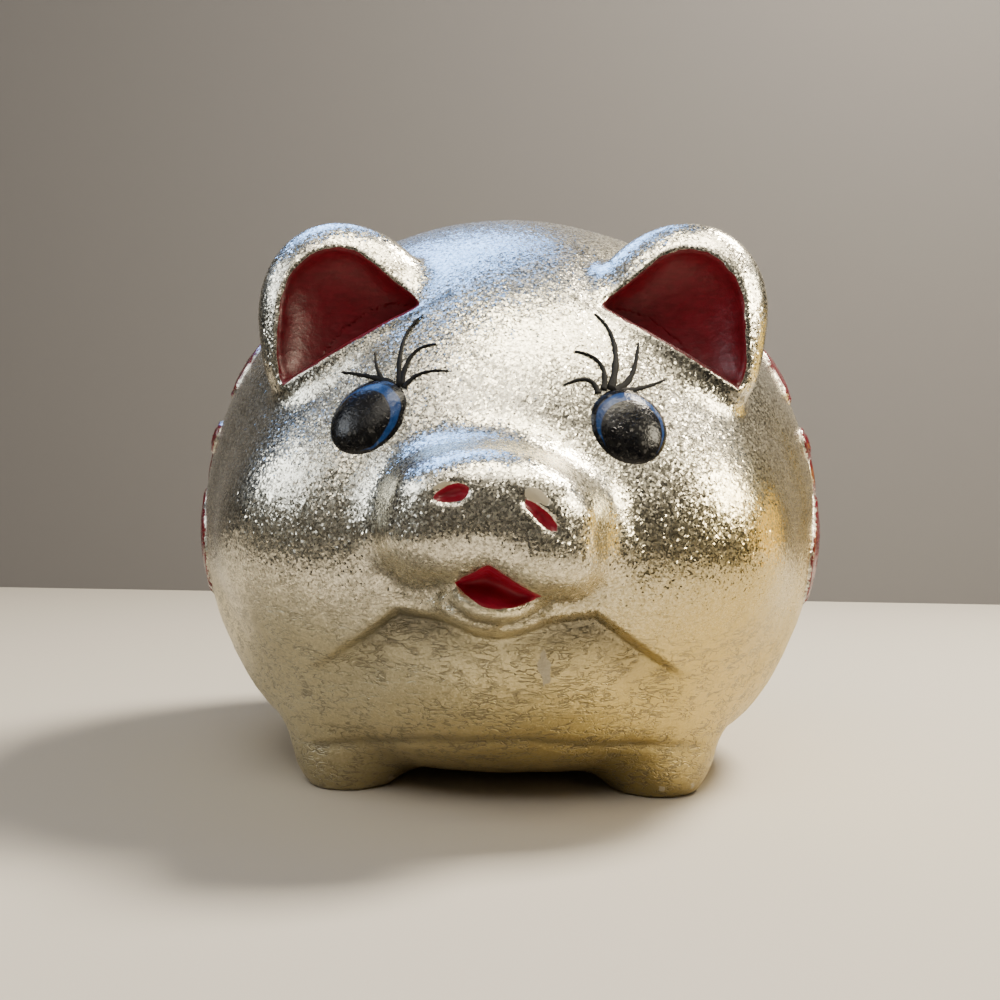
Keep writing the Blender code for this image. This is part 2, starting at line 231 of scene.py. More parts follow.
def tilted(points):
    askew = points.copy()
    u, v = in_plane(points, (0.0, SNOUT_AT[2]), -FACE_TILT)
    askew[..., 0] = u
    askew[..., 2] = SNOUT_AT[2] + v
    return askew


def egg(points, inset):
    offset = points - BODY_MIDDLE
    radii = np.empty_like(offset)
    radii[..., 0] = BODY_HALF_WIDTH - inset
    radii[..., 1] = np.where(offset[..., 1] < 0.0, BODY_FRONT, BODY_REAR) - inset
    radii[..., 2] = np.where(offset[..., 2] > 0.0, BODY_UP, BODY_DOWN) - inset
    round_body = ellipsoid(points, BODY_MIDDLE, radii)
    floor = BELLY_HEIGHT + inset - points[..., 2]
    return -blend(-round_body, -floor, BELLY_ROUND)


def body_shape(points):
    folded = both_sides(points)
    shape = egg(points, 0.0)
    for foot_y in (FRONT_FEET_Y, REAR_FEET_Y):
        along = np.array([0.0, foot_y, 0.0])
        foot = capsule(folded, FOOT_TOP + along, FOOT_SOLE + along, FOOT_RADIUS, FOOT_RADIUS)
        shape = blend(shape, foot, 5.0)
    return shape


# ---- the face ----

CREASE_SIDE = (0.0, 3.0, 6.0, 8.5, 13.0, 17.3, 24.0, 30.0)
CREASE_HEIGHT = (27.2, 27.7, 29.0, 29.6, 30.2, 26.9, 22.3, 19.0)
CREASE_DEPTH = 3.2
CREASE_EDGE = 1.7
CREASE_REACH = 6.5
LIP_GROOVES = {
    -1.0: ((-7.4, 32.7), (-9.6, 32.2), (-12.4, 32.4), (-13.8, 34.0)),
    1.0: ((7.4, 31.4), (9.4, 31.0), (11.8, 31.1), (13.4, 32.6)),
}
LIP_EDGE = ((-5.6, 30.7), (-2.6, 28.7), (1.5, 28.1), (5.2, 29.2), (6.0, 29.9))
LIP_GROOVE_DEPTH = 0.7
LIP_GROOVE_WIDTH = 1.6
LIP_EDGE_DEPTH = 0.85
LIP_EDGE_WIDTH = 0.8
MOUTH_SUNK = 0.75
NOSTRIL_SUNK = 1.5
MOUTH_MIDDLE = (0.1, 32.9)
MOUTH_TILT = math.radians(-6.4)
MOUTH_PEAK = (-0.95, 3.1)
MOUTH_HALF_WIDTH = 5.35
MOUTH_DROP = 2.4
NOSTRILS = {
    "right": {"at": (-5.1, 44.65), "half_size": (2.15, 1.0), "turn": 14.0},
    "left": {"at": (5.6, 42.4), "half_size": (2.9, 0.62), "turn": -42.0},
}
BELLY_FOLD = ((-27.0, 7.2), (-10.0, 10.4), (4.0, 10.9), (17.0, 9.3), (29.0, 8.2))
BELLY_FOLD_DEPTH = 0.35
BELLY_FOLD_WIDTH = 0.8


def mouth_depth(points):
    """How far a point is inside the mouth's outline, seen from the front, below 0 outside."""
    u, v = in_plane(points, MOUTH_MIDDLE, MOUTH_TILT)
    run = np.where(u < MOUTH_PEAK[0], MOUTH_HALF_WIDTH + MOUTH_PEAK[0],
                   MOUTH_HALF_WIDTH - MOUTH_PEAK[0])
    top = MOUTH_PEAK[1] * (1.0 - np.abs(u - MOUTH_PEAK[0]) / run)
    low = -MOUTH_DROP * (1.0 - ((u - 0.4) / (MOUTH_HALF_WIDTH + 0.2)) ** 2)
    return np.minimum(top - v, v - low) * 0.85


def nostril_depth(points, side):
    nostril = NOSTRILS[side]
    u, v = in_plane(points, nostril["at"], math.radians(nostril["turn"]))
    wide, high = nostril["half_size"]
    high = high * (1.0 + 0.35 * np.clip(u / wide, -1.5, 1.5))
    reach = np.sqrt((u / wide) ** 2 + (v / high) ** 2)
    return (1.0 - reach) * high


def front_only(points):
    return smooth_step(-points[..., 1], 18.0, 30.0)


def on_muzzle(points):
    return smooth_step(-points[..., 1], 38.0, 44.0)


def below_crease(points):
    """How far below the cheeks' and lips' lower edge a point is, and how marked the edge is."""
    side = np.abs(points[..., 0])
    below = (np.interp(side, CREASE_SIDE, CREASE_HEIGHT) - points[..., 2]) * 0.85
    marked = (1.0 - smooth_step(side, 17.0, 28.0)) * front_only(points)
    return below, marked


def head_shape(points):
    """The body with cheeks, snout and lips, before the ears."""
    folded = both_sides(points)
    askew = tilted(points)
    shape = blend(body_shape(points), ellipsoid(folded, CHEEK_AT, CHEEK_RADII), 8.0)
    below, marked = below_crease(points)
    step = smooth_step(below, 0.0, CREASE_EDGE) * np.exp(-np.maximum(below, 0.0) / CREASE_REACH)
    shape = shape + CREASE_DEPTH * step * marked
    raised = askew.copy()
    raised[..., 1] = askew[..., 1] - (askew[..., 2] - SNOUT_AT[2]) * SNOUT_PITCH
    snout = button(raised, SNOUT_AT + SNOUT_BACK, SNOUT_RADII, SNOUT_SQUARENESS)
    lip_pads = ellipsoid(both_sides(raised), LIP_PAD_AT + SNOUT_BACK, LIP_PAD_RADII)
    muzzle = blend(snout, lip_pads, 3.2)
    shape = blend(shape, muzzle, 6.0)
    shape = blend(shape, ellipsoid(askew, LOWER_LIP_AT, LOWER_LIP_RADII), 1.4)
    in_front = on_muzzle(points)
    for route in LIP_GROOVES.values():
        distance = line_distance(points, route)
        shape = shape + LIP_GROOVE_DEPTH * hump(distance, LIP_GROOVE_WIDTH) * in_front
    distance = line_distance(points, LIP_EDGE)
    shape = shape + LIP_EDGE_DEPTH * hump(distance, LIP_EDGE_WIDTH) * in_front
    shape = shape + MOUTH_SUNK * smooth_step(mouth_depth(points), -0.3, 0.8) * in_front
    for side in NOSTRILS:
        sunk = smooth_step(nostril_depth(points, side), -0.35, 0.75)
        shape = shape + NOSTRIL_SUNK * sunk * in_front
    fold = line_distance(points, BELLY_FOLD)
    shape = shape + BELLY_FOLD_DEPTH * hump(fold, BELLY_FOLD_WIDTH) * front_only(points)
    return shape


# ---- ears and tail ----

def turn_matrix(mirror):
    tip, lean, yaw = EAR_TURN
    return np.array(Matrix.Rotation(yaw * mirror, 3, "Z") @ Matrix.Rotation(lean * mirror, 3, "Y")
                    @ Matrix.Rotation(tip, 3, "X"))


def ear_points(points, side):
    place = np.array([EAR_SIDE[side], EAR_BACK, EAR_HEIGHT])
    return (points - place) @ turn_matrix(outwards(side))


def outwards(side):
    return 1.0 if side == "left" else -1.0


def flared(local, side, amount):
    """The ear's outer half drawn in towards its foot, so that the shape flares out there."""
    spread = 1.0 + amount * smooth_step(FLARE_FROM - local[..., 2], 0.0, 9.0)
    return narrowed(local, local[..., 0] * outwards(side) > 0.0, 1.0 / spread)


def narrowed(local, where, share):
    changed = local.copy()
    changed[..., 0] = np.where(where, local[..., 0] * share, local[..., 0])
    return changed


def dish_floor(local, side):
    """Height above the straight lower edge of the ear's dish, which drops outwards."""
    return local[..., 2] - DISH_FLOOR + DISH_FLOOR_SLOPE * local[..., 0] * outwards(side)


def drawn_in(local, side):
    """The dish's upper inner edge drawn in, so that it runs almost straight to its corner."""
    spread = 1.0 + 0.24 * hump(local[..., 2] - 6.2, 4.6)
    return narrowed(local, local[..., 0] * outwards(side) < 0.0, spread)


def dish_bowl(local, side, larger=0.0):
    middle = DISH_AT + np.array([DISH_OUTWARDS * outwards(side), 0.0, 0.0])
    radii = DISH_RADII + np.array([larger, larger, larger])
    return ellipsoid(drawn_in(flared(local, side, DISH_FLARE), side), middle, radii)


def dish_shape(points, side):
    local = ear_points(points, side)
    return carve(dish_bowl(local, side), dish_floor(local, side), 0.6)


def ear_blank(points, side):
    local = ear_points(points, side)
    shape = ellipsoid(flared(local, side, EAR_FLARE), np.zeros(3), EAR_RADII)
    out = outwards(side)
    drop = DISH_FLOOR_SLOPE * 11.0
    inner_end = np.array([-11.0 * out, -2.1, DISH_FLOOR - 0.7 + drop])
    outer_end = np.array([11.6 * out, -2.1, DISH_FLOOR - 0.7 - drop])
    sill = capsule(local, inner_end, outer_end, 1.3, 1.3)
    return blend(shape, sill, 1.2)


def tail_route():
    """Points and radii along the curl, lying against the rump."""
    route = []
    steps = 30
    for number in range(steps + 1):
        share = number / steps
        around = math.radians(90.0) + share * TAIL_TURNS * 2.0 * math.pi
        curl = TAIL_CURL + share * (TAIL_TIP_CURL - TAIL_CURL)
        radius = TAIL_RADIUS + share * (TAIL_TIP_RADIUS - TAIL_RADIUS)
        x = curl * math.cos(around)
        z = TAIL_HEIGHT + curl * math.sin(around)
        rump = surface_along(np.array([[x, 0.0, z]]), (0.0, 1.0, 0.0))[0]
        route.append((np.array([x, rump[1] + GAP + radius * 1.05, z]), radius))
    return route


def tail_shape(points):
    shape = np.full(points.shape[:-1], 1e3)
    for (start, start_radius), (end, end_radius) in zip(TAIL_ROUTE, TAIL_ROUTE[1:]):
        shape = np.minimum(shape, capsule(points, start, end, start_radius, end_radius))
    return shape


def surface_along(starts, direction, shape=body_shape, level=0.0, reach=80.0, count=60):
    """Where rays from inside the pig last cross a level of the shape."""
    heading = np.array(direction, dtype=float)
    steps = np.linspace(0.0, reach, count)
    samples = starts[:, None, :] + steps[None, :, None] * heading
    inside = shape(samples) < level
    last = inside.shape[1] - 1 - np.argmax(inside[:, ::-1], axis=1)
    low = steps[last]
    high = steps[np.minimum(last + 1, len(steps) - 1)]
    for _ in range(22):
        middle = 0.5 * (low + high)
        within = shape(starts + middle[:, None] * heading) < level
        low = np.where(within, middle, low)
        high = np.where(within, high, middle)
    return starts + (0.5 * (low + high))[:, None] * heading


TAIL_ROUTE = tail_route()


# ---- the shell as a whole ----

def slot_shape(points):
    half = np.array([0.5 * SLOT_WIDTH, 0.5 * SLOT_LENGTH])
    x = np.abs(points[..., 0])
    y = np.maximum(np.abs(points[..., 1] - SLOT_MIDDLE_Y) - (half[1] - half[0]), 0.0)
    flat = np.hypot(x, y) - half[0]
    return np.maximum(flat, 60.0 - points[..., 2])


def hole_shape(points):
    radius = np.hypot(points[..., 0], points[..., 1] - HOLE_Y)
    z = points[..., 2]
    neck = np.maximum(radius - HOLE_RADIUS, z - 20.0)
    seat = np.maximum(radius - SEAT_RADIUS, z - SEAT_HEIGHT)
    return np.minimum(neck, seat)


def shell_shape(points):
    head = head_shape(points)
    skin = head
    for side in EAR_SIDE:
        skin = np.minimum(skin, blend(head, ear_blank(points, side), 2.4))
    skin = np.minimum(skin, blend(head, tail_shape(points), 1.6))
    skin = np.maximum(skin, head - 2.6)
    for side in EAR_SIDE:
        skin = carve(skin, dish_shape(points, side), 0.8)
    skin = carve(skin, egg(points, WALL), 0.4)
    skin = carve(skin, slot_shape(points), 1.0)
    skin = carve(skin, hole_shape(points), 0.5)
    return np.maximum(skin, -points[..., 2])


def ear_shape(side):
    def shape(points):
        ear = carve(ear_blank(points, side), dish_shape(points, side), 1.0) - 0.02
        return np.maximum(ear, -(head_shape(points) + 2.2))
    return shape


# ---- meshing ----

SHELL_VOXEL = 0.62
EAR_VOXEL = 0.42
TAIL_VOXEL = 0.30
STOPPER_VOXEL = 0.34
MOST_TRIANGLES = 190000


def field_mesh(shape, low, high, voxel):
    """Points and quads of a field's zero surface, sampled only near it."""
    voxel = voxel * FINE
    block = 8
    low = np.array(low) - 2.0 * voxel
    counts = np.ceil((np.array(high) + 2.0 * voxel - low) / (voxel * block)).astype(int)
    corner = np.stack(np.meshgrid(*[np.arange(n) for n in counts], indexing="ij"), -1)
    centres = low + (corner + 0.5) * block * voxel
    rough = shape(centres)
    grid = np.where(rough > 0.0, 9.0, -9.0).astype(np.float32)
    grid = grid.repeat(block, 0).repeat(block, 1).repeat(block, 2)
    near = np.argwhere(np.abs(rough) < block * voxel * 1.25 + 2.0)
    inner = np.stack(np.meshgrid(*[np.arange(block)] * 3, indexing="ij"), -1)
    for start in range(0, len(near), 1200):
        part = near[start:start + 1200]
        index = part[:, None, None, None, :] * block + inner
        grid[index[..., 0], index[..., 1], index[..., 2]] = shape(low + index * voxel)
    volume = openvdb.FloatGrid(9.0)
    volume.copyFromArray(np.clip(grid, -9.0, 9.0))
    points, quads = volume.convertToQuads(0.0)
    return points.astype(float) * voxel + low, quads


def gradient(shape, points, step=0.12):
    slope = np.empty_like(points)
    for axis in range(3):
        nudge = np.zeros(3)
        nudge[axis] = step
        slope[:, axis] = (shape(points + nudge) - shape(points - nudge)) / (2.0 * step)
    return slope


def settle(shape, points, voxel):
    """Move points on to the zero surface along its gradient."""
    for _ in range(2):
        slope = gradient(shape, points)
        square = np.maximum(np.sum(slope * slope, axis=1), 0.2)
        move = -(shape(points) / square)[:, None] * slope
        length = np.linalg.norm(move, axis=1)
        limit = np.minimum(1.0, 0.6 * voxel / np.maximum(length, 1e-9))
        points = points + move * limit[:, None]
    slope = gradient(shape, points)
    normal = slope / np.maximum(np.linalg.norm(slope, axis=1), 1e-6)[:, None]
    return points, normal


def hashed(cell, seed):
    """A repeatable value from -1 to 1 for each whole-number cell."""
    mixed = (cell[..., 0] * 374761393 + cell[..., 1] * 668265263 + cell[..., 2] * 1274126177
             + seed * 974634777)
    mixed = np.bitwise_and(mixed, 0xFFFFFFFF)
    mixed = np.bitwise_and((mixed ^ (mixed >> 13)) * 1103515245, 0xFFFFFFFF)
    mixed = mixed ^ (mixed >> 16)
    return mixed.astype(float) / 2147483647.5 - 1.0


def noise(points, size, seed=0):
    """Smooth noise from -1 to 1 with lumps about size across."""
    scaled = points / size
    cell = np.floor(scaled).astype(np.int64)
    part = scaled - cell
    part = part * part * (3.0 - 2.0 * part)
    total = np.zeros(points.shape[:-1])
    for corner in range(8):
        step = np.array([corner & 1, (corner >> 1) & 1, corner >> 2])
        weight = np.prod(np.where(step == 1, part, 1.0 - part), axis=-1)
        total = total + weight * hashed(cell + step, seed)
    return total


def lacquer_amount(points):
    """Where the lacquer has dried in wrinkles: the lower half of the pig, which also takes the
    painted reflection of the floor.
    """
    height = points[..., 2] + 3.0 * noise(points, 9.0, 3) + 0.06 * points[..., 0]
    height = height - 5.5 * smooth_step(-points[..., 1], 50.0, 57.0)
    return 1.0 - smooth_step(height, 22.0, 35.0)


def wrinkle_height(points):
    """Shallow rolls of dried lacquer, longer across than down."""
    return noise(points * np.array([0.36, 0.36, 1.0]), 1.7, 5)


def surface_relief(points):
    """The hand-made unevenness of the lacquered pottery, in millimetres."""
    waves = 0.10 * noise(points, 11.0, 1) + 0.05 * noise(points, 4.5, 2)
    peel = 0.025 * noise(points, 1.5, 4)
    return waves + peel + 0.08 * lacquer_amount(points) * wrinkle_height(points)


def mesh_object(name, points, faces, marks=None):
    """A smooth object from points in millimetres, with named numbers on its points."""
    mesh = bpy.data.meshes.new(name)
    mesh.from_pydata((points * MM).tolist(), [], faces)
    mesh.validate()
    for mark, values in (marks or {}).items():
        layer = mesh.attributes.new(mark, "FLOAT", "POINT")
        layer.data.foreach_set("value", values.astype(np.float32))
    mesh.shade_smooth()
    made = bpy.data.objects.new(name, mesh)
    bpy.context.scene.collection.objects.link(made)
    return made


def outward(points, faces, normal):
    """The faces, turned over if they look against the normals."""
    corner = points[faces[:, 0]]
    facing = np.cross(points[faces[:, 1]] - corner, points[faces[:, 2]] - corner)
    agree = np.sum(facing * normal[faces[:, 0]])
    return faces if agree > 0.0 else faces[:, ::-1]


def thin_out(points, quads, chosen):
    """The mesh in triangles, with fewer of them among the chosen points, if it has too many."""
    if 2 * len(quads) <= MOST_TRIANGLES:
        return points, quads
    rough = mesh_object("rough", points, quads.tolist())
    group = rough.vertex_groups.new(name="chosen")
    group.add(np.flatnonzero(chosen).tolist(), 1.0, "REPLACE")
    modifier = rough.modifiers.new("thin", "DECIMATE")
    modifier.vertex_group = group.name
    modifier.use_collapse_triangulate = True
    modifier.ratio = MOST_TRIANGLES / (2.0 * len(quads))
    thin = rough.evaluated_get(bpy.context.evaluated_depsgraph_get()).to_mesh()
    places = np.empty(3 * len(thin.vertices))
    thin.vertices.foreach_get("co", places)
    corners = np.empty(len(thin.loops), dtype=np.int32)
    thin.loops.foreach_get("vertex_index", corners)
    triangles = corners.reshape(-1, 3)
    rough.to_mesh_clear()
    bpy.data.meshes.remove(rough.data)
    return places.reshape(-1, 3) / MM, triangles


def plain_parts(points):
    """Which points are on the wall of the coin chamber or the pig's rear, off its openings."""
    chamber = np.abs(egg(points, WALL)) < 0.35
    rear = (points[:, 1] > -14.0) & (points[:, 2] > 3.0)
    openings = np.minimum(slot_shape(points), hole_shape(points))
    return (chamber | rear) & (openings > 2.0)


def field_object(name, shape, low, high, voxel, paint=None, relief=None, thinned=None):
    """A shape's surface as an object, with its paint's marks and then its relief."""
    points, quads = field_mesh(shape, low, high, voxel)
    if thinned is not None:
        points, quads = thin_out(points, quads, thinned(points))
    points, normal = settle(shape, points, voxel)
    quads = outward(points, quads, normal)
    marks = paint(points) if paint else {}
    if relief is not None:
        points = points + normal * relief(points)[:, None]
        points[:, 2] = np.maximum(points[:, 2], 0.0)
    return mesh_object(name, points, quads.tolist(), marks)


# ---- paint ----

CHIPS = (
    ((-6.3, 45.6), (1.0, 0.4), 28.0),
    ((5.3, 44.5), (1.25, 0.75), -20.0),
    ((6.4, 22.0), (0.75, 2.3), 8.0),
    ((25.9, 66.4), (0.9, 0.32), -35.0),
)


def bare_places(points):
    """How far inside a chip in the lacquer a point lies, with the worn edges of the feet."""
    bare = np.full(points.shape[:-1], -9.0)
    for at, half_size, turn in CHIPS:
        bare = np.maximum(bare, chip_depth(points, at, half_size, turn))
    foot = smooth_step(4.2 - points[..., 2], 0.0, 3.0) * smooth_step(points[..., 2], 0.15, 0.8)
    worn = noise(points, 1.5, 32) + 0.5 * noise(points, 0.8, 33) - 1.25 + 0.62 * foot
    return np.maximum(bare + 0.45 * noise(points, 0.8, 31), worn)


def ear_enamel(points):
    """How far inside the red lining of either ear a point lies."""
    inside = np.full(points.shape[:-1], -9.0)
    for side in EAR_SIDE:
        local = ear_points(points, side)
        dish = dish_bowl(local, side, 0.25)
        floor = -0.5 - dish_floor(local, side)
        behind = local[..., 1] - 6.0
        inside = np.maximum(inside, -np.maximum(np.maximum(dish, floor), behind))
    return inside


def enamel_edge(points):
    return 0.12 * noise(points, 1.3, 21) + 0.06 * noise(points, 0.5, 22)


def ear_paint(points):
    far = np.full(len(points), -9.0)
    return {
        "red": ear_enamel(points) + enamel_edge(points),
        "bare": bare_places(points),
        "mouth": far,
        "bright": 0.0 * far,
        "clay": far,
        "wrinkle": lacquer_amount(points),
        "recess": painted_recess_shade(points),
    }


def shell_paint(points):
    """The marks of the ears, with those of mouth, nostrils and chamber added."""
    marks = ear_paint(points)
    in_front = np.where(points[:, 1] < -40.0, 0.0, -9.0)
    mouth = mouth_depth(points) + in_front
    nostrils = np.maximum(nostril_depth(points, "left"), nostril_depth(points, "right"))
    nostrils = nostrils + 0.05 + in_front
    face = np.maximum(mouth + 0.1, nostrils) + enamel_edge(points)
    marks["red"] = np.maximum(marks["red"], face)
    marks["mouth"] = mouth
    marks["bright"] = np.where(points[:, 1] < -45.0, 1.0, 0.0)
    marks["clay"] = np.clip(-egg(points, WALL - 0.9), -9.0, 9.0)
    return marks


def painted_recess_shade(points):
    """Painted shade in the creases below the cheeks, the lip grooves, under the lip edge, in the
    belly fold and under the ears' sills, from 0 to 1.
    """
    # painted shade below the cheeks' lower edge, deepest near the mouth's corners
    corner = hump(np.abs(points[..., 0]) - 11.5, 8.0)
    below, marked = below_crease(points)
    shaded = smooth_step(below, 0.3, 1.6) * hump(below, 6.0)
    amount = (0.20 + 0.80 * corner) * shaded * marked
    in_front = on_muzzle(points)
    for route in LIP_GROOVES.values():
        distance = line_distance(points, route)
        amount = np.maximum(amount, 0.35 * hump(distance, 1.1) * in_front)
    distance = line_distance(points, LIP_EDGE)
    amount = np.maximum(amount, 0.6 * hump(distance, 0.5) * in_front)
    fold = line_distance(points, BELLY_FOLD)
    amount = np.maximum(amount, 0.45 * hump(fold, 0.7) * front_only(points))
    # a band of painted shade under each ear's sill
    for side in EAR_SIDE:
        local = ear_points(points, side)
        under = dish_floor(local, side) + 1.15
        near = (np.abs(local[..., 0]) < 14.0) & (np.abs(local[..., 1]) < 8.0)
        band = hump(under, 0.55)
        amount = np.maximum(amount, np.where(near, 0.9 * band, 0.0))
    return np.clip(amount, 0.0, 1.0)


def chip_depth(points, at, half_size, turn):
    u, v = in_plane(points, at, math.radians(turn))
    depth = (1.0 - np.hypot(u / half_size[0], v / half_size[1])) * min(half_size)
    return np.where(points[..., 1] < -30.0, depth, -9.0)


# ---- materials ----

class Graph:
    """Short names for building the nodes of a material, or of the world."""

    def __init__(self, owner):
        owner.use_nodes = True
        self.tree = owner.node_tree

    def feed(self, socket, value):
        if isinstance(value, bpy.types.NodeSocket):
            self.tree.links.new(value, socket)
        else:
            socket.default_value = value

    def node(self, kind, inputs=None, **settings):
        made = self.tree.nodes.new("ShaderNode" + kind)
        for key, value in settings.items():
            setattr(made, key, value)
        for socket, value in (inputs or {}).items():
            if value is not None:
                self.feed(made.inputs[socket], value)
        return made

    def coordinates(self, kind):
        return self.node("TexCoord").outputs[kind]

    def mark(self, name):
        return self.node("Attribute", attribute_name=name).outputs["Fac"]

    def vector(self, operation, first, second=None, scale=None):
        inputs = {0: first, 1: second, "Scale": scale}
        return self.node("VectorMath", inputs, operation=operation).outputs["Vector"]

    def math(self, operation, first, second=None, third=None):
        inputs = {0: first, 1: second, 2: third}
        return self.node("Math", inputs, operation=operation).outputs[0]

    def times(self, first, second):
        return self.math("MULTIPLY", first, second)

    def plus(self, first, second):
        return self.math("ADD", first, second)

    def minus(self, first, second):
        return self.math("SUBTRACT", first, second)

    def parts(self, colour):
        return self.node("SeparateColor", {"Color": colour}).outputs

    def ramp(self, value, low, high, to_low=0.0, to_high=1.0):
        """The value stretched so that low and high become to_low and to_high, clamped."""
        inputs = {"Value": value, "From Min": low, "From Max": high,
                  "To Min": to_low, "To Max": to_high}
        return self.node("MapRange", inputs, interpolation_type="SMOOTHSTEP").outputs["Result"]

    def noise(self, scale, detail=2.0, roughness=0.5, place=None, output="Fac"):
        inputs = {"Vector": place or self.place, "Scale": scale, "Detail": detail,
                  "Roughness": roughness}
        return self.node("TexNoise", inputs).outputs[output]

    def cells(self, scale):
        return self.node("TexVoronoi", {"Vector": self.place, "Scale": scale}).outputs["Color"]

    def mix(self, share, first, second, kind="RGBA"):
        inputs = {"Factor": share, "A": first, "B": second}
        return self.node("Mix", inputs, data_type=kind).outputs["Result"]

    def mix_number(self, share, first, second):
        return self.mix(share, first, second, "FLOAT")

    def bump(self, height, distance, strength):
        inputs = {"Height": height, "Distance": distance, "Strength": strength}
        return self.node("Bump", inputs).outputs["Normal"]


class Paint(Graph):
    """A material's nodes, with places in millimetres."""

    def __init__(self, name):
        self.material = bpy.data.materials.new(name)
        super().__init__(self.material)
        self.shader = self.tree.nodes["Principled BSDF"]
        self.place = self.vector("SCALE", self.coordinates("Object"), scale=1.0 / MM)

    def set(self, **values):
        for name, value in values.items():
            self.feed(self.shader.inputs[name.replace("_", " ")], value)


def rgb(red, green, blue):
    return (red, green, blue, 1.0)


SILVER = rgb(0.86, 0.81, 0.66)
SILVER_DARK = rgb(0.29, 0.275, 0.22)
FLOOR_REFLECTION_CREAM = rgb(0.84, 0.75, 0.46)
ENAMEL = rgb(0.165, 0.006, 0.014)
ENAMEL_DARK = rgb(0.115, 0.004, 0.009)
ENAMEL_LIPS = rgb(0.25, 0.008, 0.024)
BARE_CLAY = rgb(0.46, 0.41, 0.29)
WARM_REFLECTION_GOLD = rgb(0.58, 0.44, 0.14)
# dark grey for painted shade in the recesses and towards the bottom
SHADE_GREY = rgb(0.10, 0.095, 0.08)
INNER_CLAY = rgb(0.62, 0.50, 0.38)


FLAKES_PER_MM = 3.8
FLAKE_LEAN = 0.18
STRAY_FLAKE_LEAN = 0.42
STRAY_FLAKE_RARITY = 9.0
CRACK_STRETCH = (0.36, 0.36, 1.0)
CRACKS = ((0.65, 0.034), (1.25, 0.044))


def flake_normal(g, amount):
    """Each flake's own colour value, and how far it tips the surface's normal."""
    flakes = g.cells(FLAKES_PER_MM)
    split = g.parts(flakes)
    stray = g.math("POWER", split["Blue"], STRAY_FLAKE_RARITY)
    lean = g.math("MULTIPLY_ADD", stray, STRAY_FLAKE_LEAN, FLAKE_LEAN)
    lean = g.times(amount, lean)
    tip = g.vector("SCALE", g.vector("SUBTRACT", flakes, (0.5, 0.5, 0.5)), scale=lean)
    return split, tip


def wrinkle_lines(g):
    """Thin wandering cracks between rolls of lacquer, longer across than down, from 0 to 1."""
    flat = g.vector("MULTIPLY", g.place, CRACK_STRETCH)
    wander = g.noise(0.8, 2.0, 0.5, flat, "Color")
    push = g.vector("SUBTRACT", wander, (0.5, 0.5, 0.5))
    bent = g.vector("ADD", flat, g.vector("SCALE", push, scale=1.5))
    lines = None
    for scale, width in CRACKS:
        value = g.noise(scale, 2.0, 0.5, bent)
        away = g.math("ABSOLUTE", g.minus(value, 0.5))
        line = g.ramp(away, 0.0, width, 1.0, 0.0)
        lines = line if lines is None else g.math("MAXIMUM", lines, line)
    broken = g.ramp(g.noise(0.30, 3.0, 0.6), 0.34, 0.56)
    return g.times(lines, broken)


def silver_lacquer():
    """Glitter in silver lacquer, with the red enamel, chips and bare clay painted on it."""
    g = Paint("silver_lacquer")
    red = g.ramp(g.mark("red"), -0.04, 0.04)
    bare = g.ramp(g.mark("bare"), -0.08, 0.08)
    clay = g.ramp(g.mark("clay"), -0.6, 0.4)
    wrinkled = g.mark("wrinkle")
    plain = g.minus(1.0, g.math("MAXIMUM", g.math("MAXIMUM", bare, clay), red))
    lines = g.times(g.times(wrinkle_lines(g), wrinkled), plain)

    peel = g.noise(0.9, 3.0, 0.55)
    height = g.minus(g.times(peel, 0.9), g.times(lines, 0.8))
    bumped = g.bump(height, 0.00016, 0.7)
    glitter = g.times(g.mix_number(wrinkled, 1.0, 0.65), plain)
    split, tip = flake_normal(g, glitter)
    normal = g.vector("NORMALIZE", g.vector("ADD", bumped, tip))

    silver = g.mix(split["Red"], SILVER_DARK, SILVER)
    # the lower half tinted cream: painted reflection of the pale floor
    silver = g.mix(g.times(wrinkled, 0.7), silver, FLOOR_REFLECTION_CREAM)
    where = g.node("SeparateXYZ", {"Vector": g.place}).outputs
    # golden towards the bottom and the pig's left side: painted reflection of a warm light
    low = g.math("MULTIPLY_ADD", where["X"], -0.75, where["Z"])
    silver = g.mix(g.ramp(low, 38.0, 0.0, 0.0, 0.9), silver, WARM_REFLECTION_GOLD)
    # darker towards the bottom: painted shade near the floor
    silver = g.mix(g.ramp(where["Z"], 15.0, 2.0, 0.0, 0.42), silver, SHADE_GREY)
    # painted shade where the recess mark says
    silver = g.mix(g.times(g.mark("recess"), 0.88), silver, SHADE_GREY)
    silver = g.mix(g.times(lines, 0.62), silver, rgb(0.16, 0.14, 0.11))
    streaks = g.noise(0.5, 4.0, 0.6, g.vector("MULTIPLY", g.place, (1.0, 1.0, 3.0)))
    enamel = g.mix(g.ramp(streaks, 0.35, 0.7), ENAMEL, ENAMEL_DARK)
    enamel = g.mix(g.mark("bright"), enamel, ENAMEL_LIPS)
    enamel = g.mix(g.ramp(g.mark("mouth"), 0.75, 1.0, 0.0, 0.65), enamel, ENAMEL)
    colour = g.mix(bare, silver, BARE_CLAY)
    colour = g.mix(clay, colour, INNER_CLAY)
    colour = g.mix(red, colour, enamel)

    metal = g.times(plain, g.mix_number(wrinkled, 1.0, 0.92))
    rough = g.mix_number(split["Green"], 0.15, 0.34)
    rough = g.mix_number(wrinkled, rough, 0.42)
    rough = g.mix_number(g.math("MAXIMUM", bare, clay), rough, 0.75)
    rough = g.mix_number(red, rough, g.ramp(peel, 0.3, 0.7, 0.30, 0.44))
    g.set(Base_Color=colour, Metallic=metal, Roughness=rough, Normal=normal, Coat_Weight=0.06,
          Coat_Roughness=0.3, Specular_IOR_Level=0.22)
    return g.material


